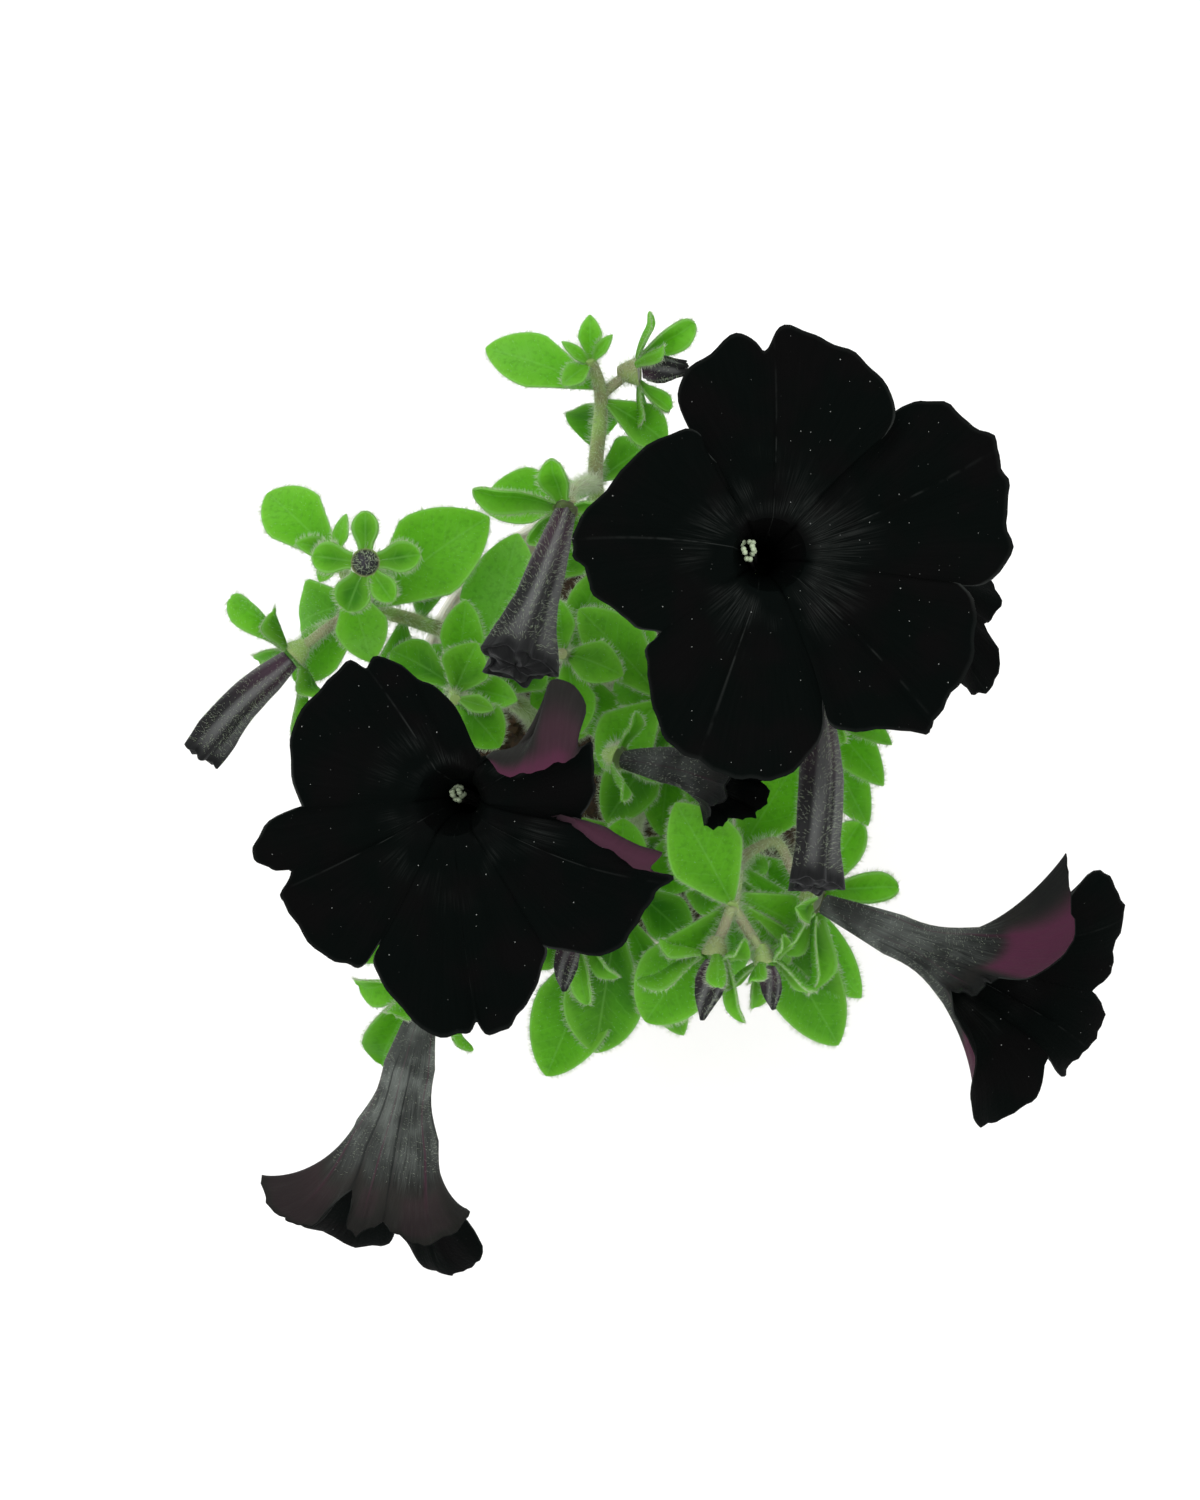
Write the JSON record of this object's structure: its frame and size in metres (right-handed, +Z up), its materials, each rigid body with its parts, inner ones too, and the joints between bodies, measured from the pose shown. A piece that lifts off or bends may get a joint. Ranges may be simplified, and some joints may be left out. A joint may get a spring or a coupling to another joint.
{
  "type": "potted petunia",
  "caption": "Bushy flowering plant in a round nursery pot, with broad dark funnel-shaped blooms, furled buds and soft green leaves on hairy stems.",
  "frame": {"origin": "centre of the underside of the pot's foot, where it rests", "axes": "+Z up along the pot's axis, +Y towards the back of the plant, +X to its right as the picture shows it"},
  "size_m": [0.1679, 0.1689, 0.1816],
  "materials": {
    "pot_plastic": "smooth moulded off-white plastic",
    "potting_soil": "moist dark peat and bark crumbs",
    "foliage": "soft thin leaves and stems with fine white hairs",
    "petal": "black velvet petals, grey with violet patches outside",
    "bud": "dark furled petals with silvery hairs",
    "stamen": "pale green-white anthers and threads"
  },
  "bodies": {
    "root": {"pot": "pot_plastic", "soil": "potting_soil", "leafy_stem_back": "foliage", "leafy_stem_upper_left": "foliage", "leafy_stem_centre_left": "foliage", "leafy_stem_centre": "foliage", "leafy_stem_middle": "foliage", "leafy_stem_right": "foliage", "leafy_stem_front_right": "foliage", "leafy_stem_front": "foliage", "leafy_stem_front_left": "foliage", "bloom_upper_right": "petal", "stamens_upper_right": "stamen", "bloom_lower_left": "petal", "stamens_lower_left": "stamen", "bloom_front": "petal", "stamens_front": "stamen", "bloom_right": "petal", "stamens_right": "stamen", "bloom_half_open": "petal", "stamens_half_open": "stamen", "bloom_behind": "petal", "stamens_behind": "stamen", "long_bud_centre": "bud", "long_bud_left": "bud", "long_bud_right": "bud", "small_bud_back": "bud", "small_bud_front_right": "bud", "small_bud_front_far_right": "bud", "small_bud_front": "bud"}
  },
  "joints": []
}
